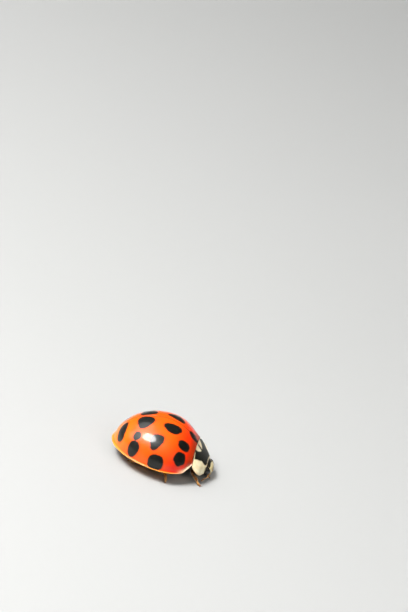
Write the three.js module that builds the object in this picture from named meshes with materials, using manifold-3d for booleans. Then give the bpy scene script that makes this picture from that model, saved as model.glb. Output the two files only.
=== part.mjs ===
// A harlequin ladybird, Harmonia axyridis, standing with its wing cases closed and its head bent down.
// Millimetres, +X towards the head, +Y the beetle's left, +Z up, feet on Z = 0.
import * as THREE from 'three';
import { LoftGeometry } from 'three/addons/geometries/LoftGeometry.js';
import { mergeVertices } from 'three/addons/utils/BufferGeometryUtils.js';
import Module from 'manifold-3d';

const wasm = await Module();
wasm.setup();

// Driving dimensions. X is measured from the front edge of the wing cases until the last lines.
const RIM_Z = 0.8; // the wing cases' rim above the ground
const GAP = 0.03; // clear space between neighbouring plates
const SHELL = 0.5; // thickness of the wing cases and of the neck shield
const LIMB = 0.25; // radius of the legs and feelers
const FAR = 12; // longer than the beetle, for cutting boxes
const PAST = 1; // how far a cutting solid runs past what it cuts
const EDGE = 0.01; // height of the thinnest edge

// The closed wing cases. Powers set how full a curve is: 2 gives an ellipse, and more is squarer.
const CASE = {
  length: 5.6, half: 3.06, widestAt: 0.33, baseHalf: 1.88, planPower: 1.92,
  height: 2.42, highestAt: 0.44, baseHeight: 1.35, sidePower: 1.94, frontPower: 2.2,
  crownPower: 0.94, rim: 0.13, rimThick: 0.1,
  shoulderRise: 0.48, shoulderEnd: 0.085, shoulderPower: 1.5,
  setBack: 0.08, sweep: 0.12, sweepPower: 4,
};
const BELLY = { depth: 0.2, waistX: -2.15, plate: 0.66, step: 0.035 };
const BREAST = { z: 0.5, belly: 0.06 };
const SCUTELLUM = {
  frontX: 0.2, shoulderX: -0.08, waistX: -0.3, length: 0.45,
  half: 0.3, waistHalf: 0.16, tipHalf: 0.02, thick: 0.4, proud: 0.03,
};
const SHIELD = {
  rear: [-0.04, 2.04], bend: [0.4, 1.63], front: [0.92, 1.09],
  rearHalf: 1.84, half: 1.9, widestAt: 0.32, frontHalf: 1.12,
  rearEdgeZ: 1.22, edgeZ: 0.6, edgeLowAt: 0.7, sweep: 0.12, crownPower: 0.8, lip: 0.08,
  frontThicker: 0.4, leastHeight: 0.05,
};
const HEAD = { at: [0.98, 0, 0.64], radii: [0.44, 0.77, 0.44], pitch: 0.5, slices: 12 };
const MUZZLE = { at: [1.12, 0, 0.4], radii: [0.26, 0.46, 0.3], pitch: 0.9, slices: 12 };
const EYE = { at: [1.02, 0.67, 0.64], radii: [0.25, 0.19, 0.27], slices: 10 };
const SIDES = { right: -1, left: 1 };

// Each leg as its joints on the left side: hip, trochanter, knee, ankle, toe.
const LEGS = {
  front: [[0.22, 0.4, 0.66], [0.18, 0.72, 0.6], [-0.02, 1.4, 0.6], [0.42, 1.74, 0.3], [0.82, 1.96, 0.2]],
  middle: [[-0.85, 0.62, 0.66], [-1.1, 0.95, 0.6], [-1.98, 1.88, 0.6], [-1.62, 2.43, 0.3], [-1.26, 2.7, 0.2]],
  hind: [[-2.15, 0.5, 0.66], [-2.25, 0.9, 0.6], [-3.02, 1.72, 0.6], [-3.62, 1.5, 0.3], [-4.08, 1.28, 0.2]],
};
const FEELER = [[1.08, 0.66, 0.42], [1.08, 0.94, 0.4], [1.0, 1.18, 0.34], [0.88, 1.36, 0.28]];
const PALP = [[1.14, 0.28, 0.3], [1.26, 0.42, 0.28], [1.36, 0.52, 0.26]];

const LIMB_SIDES = 8;
const LIMB_TIP = 0.95; // radians round a limb's end to where its dome is cut flat

// A colour and a roughness for each material.
const COLOURS = {
  case: [0xe8480c, 0.25], shield: [0xefe3c2, 0.3], black: [0x14120f, 0.3],
  head: [0xd8cfa0, 0.35], belly: [0x8a3c12, 0.45], leg: [0xa8581c, 0.4], eye: [0x0a0b0c, 0.2],
};

const vector = ([x, y, z]) => new THREE.Vector3(x, y, z);
const lerp = THREE.MathUtils.lerp;

// Turns closed three.js geometry into a solid that can be cut and joined.
function solid(geometry) {
  const bare = geometry.index ? geometry.toNonIndexed() : geometry.clone();
  bare.deleteAttribute('normal');
  bare.deleteAttribute('uv');
  const merged = mergeVertices(bare, 1e-5);
  return new wasm.Manifold(new wasm.Mesh({
    numProp: 3,
    vertProperties: merged.attributes.position.array,
    triVerts: new Uint32Array(merged.index.array),
  }));
}

function loft(sections) {
  return solid(new LoftGeometry(sections, { capStart: true, capEnd: true }));
}

function box(low, high) {
  const size = vector(high).sub(vector(low));
  const centre = vector(low).add(vector(high)).multiplyScalar(0.5);
  return solid(new THREE.BoxGeometry(size.x, size.y, size.z).translate(centre.x, centre.y, centre.z));
}

function ellipsoid({ at, radii, pitch = 0, slices = 16 }, side = 1, grow = 0) {
  const ball = new THREE.SphereGeometry(1, slices, Math.round(slices * 0.6));
  ball.scale(radii[0] + grow, radii[1] + grow, radii[2] + grow);
  ball.rotateY(pitch);
  return solid(ball.translate(at[0], at[1] * side, at[2]));
}

// Rises from base to peak at the share `at` of the way, then closes to nothing at the end like an oval.
function swell(u, base, peak, at, power) {
  if (u < at) return base + (peak - base) * (1 - ((at - u) / at) ** CASE.frontPower);
  return peak * Math.max(1 - ((u - at) / (1 - at)) ** power, 0) ** (1 / power);
}

// A cross-section: an arch over a floor, with a rim on each side, or straight walls down to `sole`.
function section({ x, half, height, floor, sole = floor, rim = 0, belly = 0, power, sweep = 0, steps, under }) {
  const ring = [];
  const put = (y, z) => ring.push(new THREE.Vector3(x + sweep * (y / half) ** 2, y, z));
  const low = rim > 0 ? CASE.rimThick + 2 * EDGE : EDGE;
  put(-half, sole);
  if (rim > 0) put(-half, floor + CASE.rimThick);
  for (let i = 0; i <= steps; i++) {
    const turn = Math.PI * (i / steps - 0.5);
    put((half - rim) * Math.sin(turn), floor + low + (height - low) * Math.cos(turn) ** power);
  }
  if (rim > 0) put(half, floor + CASE.rimThick);
  put(half, sole);
  for (let i = 1; i < under; i++) {
    const y = half * (1 - 2 * i / under);
    put(y, sole - belly * (1 - (y / half) ** 2));
  }
  return ring;
}

// The closed dome of both wing cases, shrunk on every side by `inset` and run forward by `lead`.
function dome(inset, { rim = 0, belly = 0, sole, stations = 11, steps = 12, under = 2, lead = 0 }) {
  const sections = [];
  for (let i = lead > 0 ? -1 : 0; i < stations; i++) {
    const u = i < 0 ? 0 : (1 - Math.cos((i / stations) * Math.PI)) / 2;
    const front = (1 - u) ** CASE.sweepPower;
    const rise = CASE.shoulderRise * Math.max(1 - u / CASE.shoulderEnd, 0) ** CASE.shoulderPower;
    const crown = swell(u, CASE.baseHeight - inset, CASE.height - inset, CASE.highestAt, CASE.sidePower);
    const step = BELLY.step * ((u * CASE.length / BELLY.plate) % 1);
    sections.push(section({
      x: i < 0 ? lead : -u * (CASE.length - inset) - CASE.setBack * front,
      half: swell(u, CASE.baseHalf - inset, CASE.half - inset, CASE.widestAt, CASE.planPower),
      height: crown - rise,
      floor: RIM_Z + rise,
      sole: sole ?? RIM_Z + rise,
      rim,
      belly: belly && Math.max(belly * Math.sqrt(1 - u * u) - step, 2 * EDGE),
      power: CASE.crownPower,
      sweep: CASE.sweep * front,
      steps,
      under,
    }));
  }
  return loft(sections);
}

// A tall prism over the scutellum's outline, a triangle with hollow sides and its point to the rear.
function scutellumPrism(grow) {
  const { frontX, shoulderX, waistX, half, waistHalf, tipHalf } = SCUTELLUM;
  const tipX = -SCUTELLUM.length - grow;
  const outline = new THREE.Shape();
  outline.moveTo(frontX, half + grow);
  outline.lineTo(shoulderX, half + grow);
  outline.quadraticCurveTo(waistX, waistHalf + grow, tipX, tipHalf + grow);
  outline.lineTo(tipX, -tipHalf - grow);
  outline.quadraticCurveTo(waistX, -waistHalf - grow, shoulderX, -half - grow);
  outline.lineTo(frontX, -half - grow);
  outline.closePath();
  return solid(new THREE.ExtrudeGeometry(outline, { depth: FAR, bevelEnabled: false, curveSegments: 4 }));
}

// The neck shield's dome, shrunk by `inset`; `overrun` carries it past both of its ends.
function shieldDome(inset, { sole, overrun = 0, belly = 0, stations = 6, steps = 9 }) {
  const crest = new THREE.QuadraticBezierCurve(
    ...[SHIELD.rear, SHIELD.bend, SHIELD.front].map(([x, z]) => new THREE.Vector2(x, z)),
  );
  const sections = [];
  const extra = overrun > 0 ? 1 : 0;
  for (let i = stations + extra; i >= -extra; i--) {
    const s = THREE.MathUtils.clamp(i / stations, 0, 1);
    const at = crest.getPoint(s);
    const past = i < 0 ? -overrun : i > stations ? overrun : 0;
    const wide = s < SHIELD.widestAt
      ? lerp(SHIELD.rearHalf, SHIELD.half, Math.sin((s / SHIELD.widestAt) * Math.PI / 2))
      : lerp(SHIELD.half, SHIELD.frontHalf, ((s - SHIELD.widestAt) / (1 - SHIELD.widestAt)) ** 2);
    const fall = Math.sin(Math.min(s / SHIELD.edgeLowAt, 1) * Math.PI / 2);
    const floor = lerp(SHIELD.rearEdgeZ, SHIELD.edgeZ, fall) - SHIELD.lip;
    sections.push(section({
      x: at.x + past,
      half: wide - inset,
      height: Math.max(at.y - inset * (1 + SHIELD.frontThicker * s) - floor, SHIELD.leastHeight),
      floor,
      sole: sole ?? floor,
      power: SHIELD.crownPower,
      sweep: SHIELD.sweep,
      belly,
      steps,
      under: 4,
    }));
  }
  return loft(sections);
}

// Round sections along a smooth path through the points, with domed ends; `girth` gives the radius.
function limb(points, girth, grow = 0) {
  const steps = 2 * (points.length - 1);
  const curve = new THREE.CatmullRomCurve3(points);
  const frames = curve.computeFrenetFrames(steps);
  const ring = (i, along, radius) => {
    const centre = curve.getPointAt(i / steps).addScaledVector(frames.tangents[i], along);
    return Array.from({ length: LIMB_SIDES }, (_, k) => {
      const turn = (k / LIMB_SIDES) * 2 * Math.PI;
      return centre.clone()
        .addScaledVector(frames.normals[i], radius * Math.cos(turn))
        .addScaledVector(frames.binormals[i], radius * Math.sin(turn));
    });
  };
  const end = (i, way) => {
    const radius = girth(i / steps) + grow;
    return ring(i, way * radius * Math.sin(LIMB_TIP), radius * Math.cos(LIMB_TIP));
  };
  const sections = [end(0, -1)];
  for (let i = 0; i <= steps; i++) {
    sections.push(ring(i, 0, girth(i / steps) + grow));
  }
  sections.push(end(steps, 1));
  return loft(sections);
}

// Each limb's radius at the share `t` of its length.
const GIRTH = {
  hip: (t) => LIMB * (1.15 - 0.1 * t),
  thigh: (t) => LIMB * (1 + 0.16 * Math.sin(Math.PI * t)),
  shin: (t) => LIMB * (0.96 + 0.06 * t),
  foot: (t) => LIMB * (0.94 + 0.1 * Math.sin(3 * Math.PI * t) ** 2),
  feeler: (t) => LIMB * (0.86 + 0.2 * t * t),
  palp: (t) => LIMB * (0.86 + 0.16 * t),
};

// The largest body of a cut solid, without the slivers that a cut may leave.
function main(made) {
  return made.decompose().reduce((best, one) => (one.volume() > best.volume() ? one : best));
}

const beetle = new THREE.Group();

function add(name, made, [colour, roughness]) {
  const surface = main(made).getMesh();
  const geometry = new THREE.BufferGeometry();
  geometry.setAttribute('position', new THREE.BufferAttribute(surface.vertProperties, 3));
  geometry.setIndex(new THREE.BufferAttribute(surface.triVerts, 1));
  geometry.computeVertexNormals();
  const material = new THREE.MeshStandardMaterial({ color: colour, roughness, metalness: 0 });
  const mesh = new THREE.Mesh(geometry, material);
  mesh.name = name;
  beetle.add(mesh);
}

const below = (z) => box([-FAR, -FAR, -FAR], [FAR, FAR, z]);
const behind = (x) => box([-FAR, -FAR, -FAR], [x, FAR, FAR]);
const ahead = (x) => box([x, -FAR, -FAR], [FAR, FAR, FAR]);
const leftOf = (y) => box([-FAR, y, -FAR], [FAR, FAR, FAR]);
const rightOf = (y) => box([-FAR, -FAR, -FAR], [FAR, y, FAR]);

// Legs first, because the belly is grooved to take them.
const legs = [];
for (const [pair, joints] of Object.entries(LEGS)) {
  for (const [side, sign] of Object.entries(SIDES)) {
    const [hip, trochanter, knee, ankle, toe] = joints.map(([x, y, z]) => vector([x, y * sign, z]));
    const coxa = limb([hip, trochanter], GIRTH.hip);
    const femurAt = (grow) => limb([trochanter, knee], GIRTH.thigh, grow);
    const tibiaAt = (grow) => limb([knee, ankle], GIRTH.shin, grow);
    const tarsus = limb([ankle, ankle.clone().lerp(toe, 0.5), toe], GIRTH.foot);
    legs.push({
      name: `${pair}_${side}`,
      coxa,
      femur: femurAt(0).subtract(limb([hip, trochanter], GIRTH.hip, GAP)),
      tibia: tibiaAt(0).subtract(femurAt(GAP)),
      tarsus: tarsus.subtract(tibiaAt(GAP)).subtract(below(0)),
      groove: limb([hip, trochanter], GIRTH.hip, GAP).add(femurAt(GAP)).add(tibiaAt(GAP)),
    });
  }
}
const grooves = legs.map((leg) => leg.groove).reduce((all, one) => all.add(one));

// Wing cases: one dome, hollowed from below, parted by the seam and notched for the scutellum.
const shell = dome(0, { rim: CASE.rim, stations: 20, steps: 18 })
  .subtract(dome(SHELL, { sole: RIM_Z - PAST, lead: PAST }))
  .subtract(scutellumPrism(GAP));
add('elytron_right', shell.subtract(leftOf(-GAP / 2)).subtract(grooves), COLOURS.case);
add('elytron_left', shell.subtract(rightOf(GAP / 2)).subtract(grooves), COLOURS.case);
const scutellum = dome(-SCUTELLUM.proud, {})
  .subtract(dome(SCUTELLUM.thick, { sole: RIM_Z - PAST, lead: PAST }))
  .intersect(scutellumPrism(0));
add('scutellum', scutellum, COLOURS.black);

// Thorax and abdomen fill the dome, with a plated underside.
const inside = dome(SHELL + GAP, { belly: BELLY.depth, sole: RIM_Z, under: 6 })
  .subtract(grooves)
  .subtract(ahead(-GAP));
add('thorax_underside', inside.subtract(behind(BELLY.waistX + GAP / 2)), COLOURS.black);
add('abdomen', inside.subtract(ahead(BELLY.waistX - GAP / 2)), COLOURS.belly);

// Head, with its eyes, feelers and mouth palps.
const headAt = (grow) => ellipsoid(HEAD, 1, grow).add(ellipsoid(MUZZLE, 1, grow));
let head = headAt(0);
for (const [side, sign] of Object.entries(SIDES)) {
  const mirrored = (points) => points.map(([x, y, z]) => vector([x, y * sign, z]));
  const eye = ellipsoid(EYE, sign);
  const palpAt = (grow) => limb(mirrored(PALP), GIRTH.palp, grow);
  const feeler = limb(mirrored(FEELER), GIRTH.feeler)
    .subtract(ellipsoid(EYE, sign, GAP))
    .subtract(palpAt(GAP));
  head = head
    .subtract(ellipsoid(EYE, sign, GAP))
    .subtract(limb(mirrored(FEELER), GIRTH.feeler, GAP))
    .subtract(palpAt(GAP));
  add(`eye_${side}`, eye, COLOURS.eye);
  add(`antenna_${side}`, feeler, COLOURS.leg);
  add(`palp_${side}`, palpAt(0).subtract(below(0)), COLOURS.leg);
}
add('head', head, COLOURS.head);

// Neck shield over the fore-body.
const headRoom = [-1, 1]
  .map((sign) => ellipsoid(EYE, sign, GAP))
  .reduce((all, one) => all.add(one), headAt(GAP));
const shield = shieldDome(0, { stations: 8, steps: 14 })
  .subtract(shieldDome(SHELL, { sole: SHIELD.edgeZ - PAST, overrun: PAST }))
  .subtract(headRoom)
  .subtract(grooves);
add('pronotum', shield, COLOURS.shield);
const foreBody = shieldDome(SHELL + GAP, { sole: BREAST.z, belly: BREAST.belly })
  .subtract(headRoom)
  .subtract(grooves)
  .subtract(behind(0));
add('prothorax_underside', foreBody, COLOURS.black);

for (const leg of legs) {
  for (const piece of ['coxa', 'femur', 'tibia', 'tarsus']) {
    add(`${piece}_${leg.name}`, leg[piece], COLOURS.leg);
  }
}

// The origin goes to the middle of the footprint, on the ground.
const extent = new THREE.Box3().setFromObject(beetle);
const middle = extent.getCenter(new THREE.Vector3());
beetle.position.set(-middle.x, -middle.y, -extent.min.z);

export default beetle;
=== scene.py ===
import math
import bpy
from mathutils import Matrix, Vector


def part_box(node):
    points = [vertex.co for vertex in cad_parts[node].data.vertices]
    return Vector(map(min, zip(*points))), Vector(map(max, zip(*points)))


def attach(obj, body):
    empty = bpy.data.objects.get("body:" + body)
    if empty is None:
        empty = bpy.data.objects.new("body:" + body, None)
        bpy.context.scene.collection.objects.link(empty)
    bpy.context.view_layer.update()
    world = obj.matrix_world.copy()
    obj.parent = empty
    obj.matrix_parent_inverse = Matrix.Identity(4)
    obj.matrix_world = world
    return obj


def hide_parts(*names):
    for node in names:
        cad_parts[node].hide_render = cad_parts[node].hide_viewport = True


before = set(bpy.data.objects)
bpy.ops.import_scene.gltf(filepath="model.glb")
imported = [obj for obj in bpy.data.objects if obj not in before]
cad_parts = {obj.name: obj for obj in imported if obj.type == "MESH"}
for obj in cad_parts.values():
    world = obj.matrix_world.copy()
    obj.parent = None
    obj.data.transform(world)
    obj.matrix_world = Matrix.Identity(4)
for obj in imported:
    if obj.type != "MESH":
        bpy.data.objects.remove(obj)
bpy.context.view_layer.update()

from types import SimpleNamespace as Sizes

import bpy
import numpy as np
from mathutils import Matrix, Vector

# ----- Studio -----
# A harlequin ladybird stands on a pale floor under one round lamp, soft panels and an even room
# light. The lamp, high behind the beetle's right shoulder, makes the round bright patch on the
# wing case. The camera stands off with a long lens.
MM = 0.001
SHOULDERS_AHEAD = 0.04  # how far the shoulders reach past the front of the wing cases' seam
TAIL_X, RIM_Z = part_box("elytron_left")[0].x / MM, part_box("elytron_left")[0].z / MM
FRONT_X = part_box("elytron_left")[1].x / MM - SHOULDERS_AHEAD
SIDES = {"right": -1, "left": 1}

FRAME_HEIGHT = 40.34
LENS, SENSOR = 260, 36
YAW, RISE, ROLL = (math.radians(angle) for angle in (2.03, 27.19, 15.27))
BEETLE_FROM_MIDDLE = (-0.683, -10.13)
FLOOR_HALF = 1500


def place(points):
    """Metres in the object's frame from millimetres measured back from the wing cases' front."""
    return (np.asarray(points, float) + (FRONT_X, 0, 0)) * MM


back = Vector((math.sin(YAW) * math.cos(RISE), -math.cos(YAW) * math.cos(RISE), math.sin(RISE)))
level = Vector((0, 0, 1)).cross(back).normalized()
upright = back.cross(level)
image_right = level * math.cos(ROLL) + upright * math.sin(ROLL)
image_up = upright * math.cos(ROLL) - level * math.sin(ROLL)
target = Vector(place((0, 0, RIM_Z)))
eye_point = target + back * (FRAME_HEIGHT * MM * LENS / SENSOR)
aim = target - (image_right * BEETLE_FROM_MIDDLE[0] + image_up * BEETLE_FROM_MIDDLE[1]) * MM
toward_camera = (eye_point - aim).normalized()
camera_right = (image_right - toward_camera * image_right.dot(toward_camera)).normalized()
axes = Matrix((camera_right, toward_camera.cross(camera_right), toward_camera)).transposed()
camera = bpy.data.objects.new("camera", bpy.data.cameras.new("camera"))
bpy.context.scene.collection.objects.link(camera)
camera.matrix_world = Matrix.Translation(eye_point) @ axes.to_4x4()
camera.data.lens, camera.data.sensor_width = LENS, SENSOR
camera.data.clip_start, camera.data.clip_end = 0.01, 10
bpy.context.scene.camera = camera


def soft_lamp(name, azimuth, elevation, distance, size, power, shape="DISK", mirrored=True):
    """An area lamp that faces the beetle; azimuth 0 stands on -Y and 90 on +X. Unless mirrored, it
    fills the shadows and makes no bright patch of its own."""
    a, e = math.radians(azimuth), math.radians(elevation)
    way = Vector((math.sin(a) * math.cos(e), -math.cos(a) * math.cos(e), math.sin(e)))
    data = bpy.data.lights.new(name, "AREA")
    data.shape, data.size, data.energy = shape, size * MM, power
    lamp = bpy.data.objects.new(name, data)
    lamp.location = way * distance * MM
    lamp.rotation_euler = way.to_track_quat("Z", "Y").to_euler()
    lamp.visible_glossy = mirrored
    bpy.context.scene.collection.objects.link(lamp)


WIDE_PANEL = dict(distance=1500, size=1500, shape="SQUARE", mirrored=False)
soft_lamp("round_lamp", azimuth=-66, elevation=58, distance=160, size=72, power=0.42)
soft_lamp("sky_panel", azimuth=-20, elevation=70, power=4.6, **WIDE_PANEL)
soft_lamp("back_wash", azimuth=170, elevation=50, power=5.0, **WIDE_PANEL)
soft_lamp("rear_panel", azimuth=-122, elevation=50, distance=220, size=120, power=0.08)
soft_lamp("side_panel", azimuth=-87, elevation=36, distance=220, size=130, power=0.12)
soft_lamp("front_fill", azimuth=48, elevation=34, distance=200, size=160, power=0.13, mirrored=False)

world = bpy.data.worlds.new("room")
bpy.context.scene.world = world
world.use_nodes = True
world.node_tree.nodes["Background"].inputs["Color"].default_value = (1.0, 0.97, 0.9, 1)
world.node_tree.nodes["Background"].inputs["Strength"].default_value = 0.05
bpy.context.scene.view_settings.view_transform = "Standard"


def link_mesh(name, points, faces):
    """A smooth-shaded object from body millimetres and faces."""
    mesh = bpy.data.meshes.new(name)
    mesh.from_pydata(place(points).tolist(), [], faces)
    mesh.polygons.foreach_set("use_smooth", [True] * len(mesh.polygons))
    mesh.update()
    made = bpy.data.objects.new(name, mesh)
    bpy.context.scene.collection.objects.link(made)
    return made


def node(tree, kind, settings=None, **inputs):
    """A shader node with its settings. Each input is a value or the output to link; it is named
    with _ for a space, or n0, n1 and so on for its place in the node."""
    made = tree.nodes.new(kind)
    for key, value in (settings or {}).items():
        setattr(made, key, value)
    for key, value in inputs.items():
        by_place = key[0] == "n" and key[1:].isdigit()
        socket = made.inputs[int(key[1:]) if by_place else key.replace("_", " ")]
        if isinstance(value, bpy.types.NodeSocket):
            tree.links.new(value, socket)
        else:
            socket.default_value = value
    return made


def mix(tree, share, first, second):
    """The output that mixes two colours, each given as three numbers or as an output."""
    first, second = (c if isinstance(c, bpy.types.NodeSocket) else (*c, 1) for c in (first, second))
    return node(tree, "ShaderNodeMix", {"data_type": "RGBA"}, n0=share, n6=first, n7=second).outputs[2]


def finish(name, roughness, coat=0.0, coat_roughness=0.08, specular=0.5):
    """A new material with a Principled shader; gives the material, its tree and its shader."""
    material = bpy.data.materials.new(name)
    material.use_nodes = True
    shader = material.node_tree.nodes["Principled BSDF"]
    for socket, value in (("Roughness", roughness), ("Coat Weight", coat),
                          ("Coat Roughness", coat_roughness), ("Specular IOR Level", specular)):
        shader.inputs[socket].default_value = value
    return material, material.node_tree, shader


corners = [(x * FLOOR_HALF, y * FLOOR_HALF, 0) for x, y in ((-1, -1), (1, -1), (1, 1), (-1, 1))]
floor = link_mesh("studio_floor", corners, [(0, 1, 2, 3)])
material, tree, shader = finish("pale_floor", roughness=0.9, specular=0.1)
cloud = node(tree, "ShaderNodeTexNoise", Scale=60.0, Detail=2.0).outputs["Fac"]
tree.links.new(mix(tree, cloud, (0.4, 0.402, 0.395), (0.42, 0.422, 0.415)), shader.inputs["Base Color"])
floor.data.materials.append(material)

# ----- Wing cases -----
# Two domed shells of hard chitin, hinged at the shoulders and shut along the seam. Each ends in
# a narrow turned-out rim with a rounded bead, and folds in below as a flat ledge. Orange-red,
# smooth and glossy, with fine pits and nine soft-edged black spots on each side.
CASE = Sizes(length=5.6, half=3.06, widest_at=0.33, base_half=1.88, plan_power=1.92,
             height=2.42, highest_at=0.44, base_height=1.35, side_power=1.94, front_power=2.2,
             crown_power=0.94, rim=0.11, bead=0.035, bead_lift=0.01, gutter=0.08, gutter_share=0.8,
             shoulder_rise=0.48, shoulder_end=0.085, shoulder_power=1.5, set_back=0.08, sweep_power=4,
             ledge_tilt=0.1, ledge_power=1.5)
HOLLOW = 0.82  # the inner face's share of the outer one's height and width
SEAM = Sizes(gap=0.014, bevel=0.035, drop=0.012, past_tip=0.004)
FRONT_ROLL = Sizes(turns=(90, 60, 30), depth=0.03, tuck=0.04, middle=(0, 0.9, 1.6))
CASE_ROWS, CLOSE_TO_TIP = 150, 0.9992
DOME_TURNS = np.radians([*np.linspace(0, 1.2, 6), *np.linspace(1.9, 84, 76)])  # fine at the seam


def swell(u, base, peak, at, power):
    """Rises from base to peak at the share `at` of the way, then closes to nothing like an oval."""
    ahead = base + (peak - base) * (1 - (np.clip(at - u, 0, None) / at) ** CASE.front_power)
    behind = peak * np.clip(1 - (np.clip(u - at, 0, None) / (1 - at)) ** power, 0, 1) ** (1 / power)
    return np.where(u < at, ahead, behind)


def ease(value, low, high):
    """0 at low, 1 at high, smooth between."""
    t = np.clip((value - low) / (high - low), 0, 1)
    return t * t * (3 - 2 * t)


def abreast(*parts):
    """Numbers or arrays side by side along a new last axis, such as points from x, y and z."""
    return np.stack(np.broadcast_arrays(*parts), -1)


def case_plan(u):
    """For each share u of the length: the rim's outline, its outward normal and the fold's line."""
    ahead = SHOULDERS_AHEAD * (1 - u) ** CASE.sweep_power
    half = swell(u, CASE.base_half, CASE.half, CASE.widest_at, CASE.plan_power)
    outline = abreast(ahead - u * CASE.length, half)
    run = np.gradient(outline, axis=0)
    normal = abreast(run[:, 1], -run[:, 0])
    normal /= np.linalg.norm(normal, axis=1, keepdims=True)
    return outline, normal, outline - CASE.rim * normal


def case_lift(u):
    """The rim's height, which climbs at the shoulders, and the crown's height over RIM_Z."""
    rise = CASE.shoulder_rise * np.clip(1 - u / CASE.shoulder_end, 0, None) ** CASE.shoulder_power
    crown = swell(u, CASE.base_height, CASE.height, CASE.highest_at, CASE.side_power)
    return RIM_Z + rise, np.maximum(crown, 0)


def case_dome(u, turn):
    """Points of the dome at each share u of the length and turn from the seam, on the left side."""
    fold = case_plan(u)[2]
    floor_z, crown = case_lift(u)
    crest_x = -u * (CASE.length - CASE.rim) - CASE.set_back * (1 - u) ** CASE.sweep_power
    foot_z = floor_z + CASE.gutter
    sine, cosine = np.sin(turn)[None, :], np.cos(turn)[None, :]
    x = crest_x[:, None] + (fold[:, 0] - crest_x)[:, None] * sine ** 2
    y = np.maximum(fold[:, 1], 0)[:, None] * sine
    z = foot_z[:, None] + (RIM_Z + crown - foot_z)[:, None] * cosine ** CASE.crown_power
    return abreast(x, y, z)


def loft(name, *bodies, flip=False):
    """Closed bodies in one mesh, each through rings of points, its ends closed by fans."""
    points, faces, first = [], [], 0
    for rings in bodies:
        rings = np.asarray(rings, float)
        rows, columns, _ = rings.shape
        points += [rings.reshape(-1, 3), rings[0].mean(0)[None], rings[-1].mean(0)[None]]
        c = np.arange(columns)
        step = (c + 1) % columns
        row = np.arange(rows - 1)[:, None] * columns
        quads = abreast(row + c, row + step, row + columns + step, row + columns + c)
        last, middle = (rows - 1) * columns, rows * columns
        faces += (quads.reshape(-1, 4) + first).tolist()
        faces += (abreast(middle, step, c) + first).tolist()
        faces += (abreast(middle + 1, last + c, last + step) + first).tolist()
        first += middle + 2
    if flip:
        faces = [face[::-1] for face in faces]
    return link_mesh(name, np.concatenate(points), faces)


def fit(piece, material, stands_for=None):
    """Gives a piece its material, attaches it to the root body and hides the solid it stands for, if any."""
    piece.data.materials.append(material)
    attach(piece, "root")
    if stands_for:
        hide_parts(stands_for)


def paint(piece, name, values):
    """A value at every point of a piece, for its material to read; the fans' middles get 0."""
    filled = np.zeros(len(piece.data.vertices), np.float32)
    filled[: values.size] = values.ravel()
    piece.data.attributes.new(name, "FLOAT", "POINT").data.foreach_set("value", filled)


def maths(tree, operation, first, second=0.0):
    """The output of a Math node."""
    return node(tree, "ShaderNodeMath", {"operation": operation}, n0=first, n1=second).outputs[0]


def read(tree, name, share=None):
    """The output that gives a painted value in a material, or a share of it."""
    value = node(tree, "ShaderNodeAttribute", {"attribute_name": name}).outputs["Fac"]
    return maths(tree, "MULTIPLY", value, share) if share else value


def ramp(tree, value, low, high, start=0.0, end=1.0, kind="SMOOTHSTEP"):
    """The output that goes from start to end as value goes from low to high."""
    return node(tree, "ShaderNodeMapRange", {"interpolation_type": kind}, Value=value,
                From_Min=low, From_Max=high, To_Min=start, To_Max=end).outputs["Result"]


def group(name, inputs, output):
    """A new shader node group with float inputs and one output: its tree, inputs and last socket."""
    tree = bpy.data.node_groups.new(name, "ShaderNodeTree")
    for label, value in inputs.items():
        made = tree.interface.new_socket(label, in_out="INPUT", socket_type="NodeSocketFloat")
        made.default_value = value
    tree.interface.new_socket(output, in_out="OUTPUT", socket_type="NodeSocketFloat")
    return tree, tree.nodes.new("NodeGroupInput").outputs, tree.nodes.new("NodeGroupOutput").inputs[output]


def surface_mm(tree):
    """The output that gives a surface point's place in millimetres."""
    metres = node(tree, "ShaderNodeTexCoord").outputs["Object"]
    return node(tree, "ShaderNodeVectorMath", {"operation": "SCALE"}, n0=metres, Scale=1 / MM).outputs[0]


def along(tree, axis):
    """The output that gives a surface point's millimetres along an axis."""
    return node(tree, "ShaderNodeSeparateXYZ", Vector=surface_mm(tree)).outputs[axis]


def off_middle(tree):
    """The output that gives a surface point's millimetres from the body's middle, on either side."""
    return maths(tree, "ABSOLUTE", along(tree, "Y"))


# Fine pits: a scatter of round dimples, some deeper than others.
tree, pit, height = group("chitin_pits", {"Per mm": 9.0, "Pit size": 0.3}, "Height")
SHALLOWEST_PIT = 0.4  # beside the deepest one
cells = node(tree, "ShaderNodeTexVoronoi", Vector=surface_mm(tree), Scale=pit["Per mm"], Randomness=0.85)
dimple = ramp(tree, cells.outputs["Distance"], 0.0, pit["Pit size"], 1.0, 0.0)
chance = node(tree, "ShaderNodeSeparateColor", Color=cells.outputs["Color"]).outputs[0]
depth = ramp(tree, chance, 0.0, 1.0, SHALLOWEST_PIT, 1.0, "LINEAR")
tree.links.new(maths(tree, "MULTIPLY", maths(tree, "MULTIPLY", dimple, depth), -1.0), height)

# Mottle: soft cloudy variation of a colour or of the polish.
tree, cloud, value = group("soft_mottle", {"Per mm": 2.0, "Low": 0.0, "High": 1.0}, "Value")
clouds = node(tree, "ShaderNodeTexNoise", Vector=surface_mm(tree), Scale=cloud["Per mm"], Detail=3.0)
tree.links.new(ramp(tree, clouds.outputs["Fac"], 0.3, 0.7, cloud["Low"], cloud["High"]), value)


def use(tree, name, **inputs):
    """The output of a node group placed in a tree."""
    return node(tree, "ShaderNodeGroup", {"node_tree": bpy.data.node_groups[name]}, **inputs).outputs[0]


def mottled(tree, per_mm, first, second, high=1.0):
    """The output that clouds one colour with another."""
    return mix(tree, use(tree, "soft_mottle", Per_mm=per_mm, High=high), first, second)


def ragged(tree, value, per_mm, swing):
    """The output that swings a value softly to both sides, so that what it bounds looks grown."""
    return maths(tree, "ADD", value, use(tree, "soft_mottle", Per_mm=per_mm, Low=-swing, High=swing))


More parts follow.
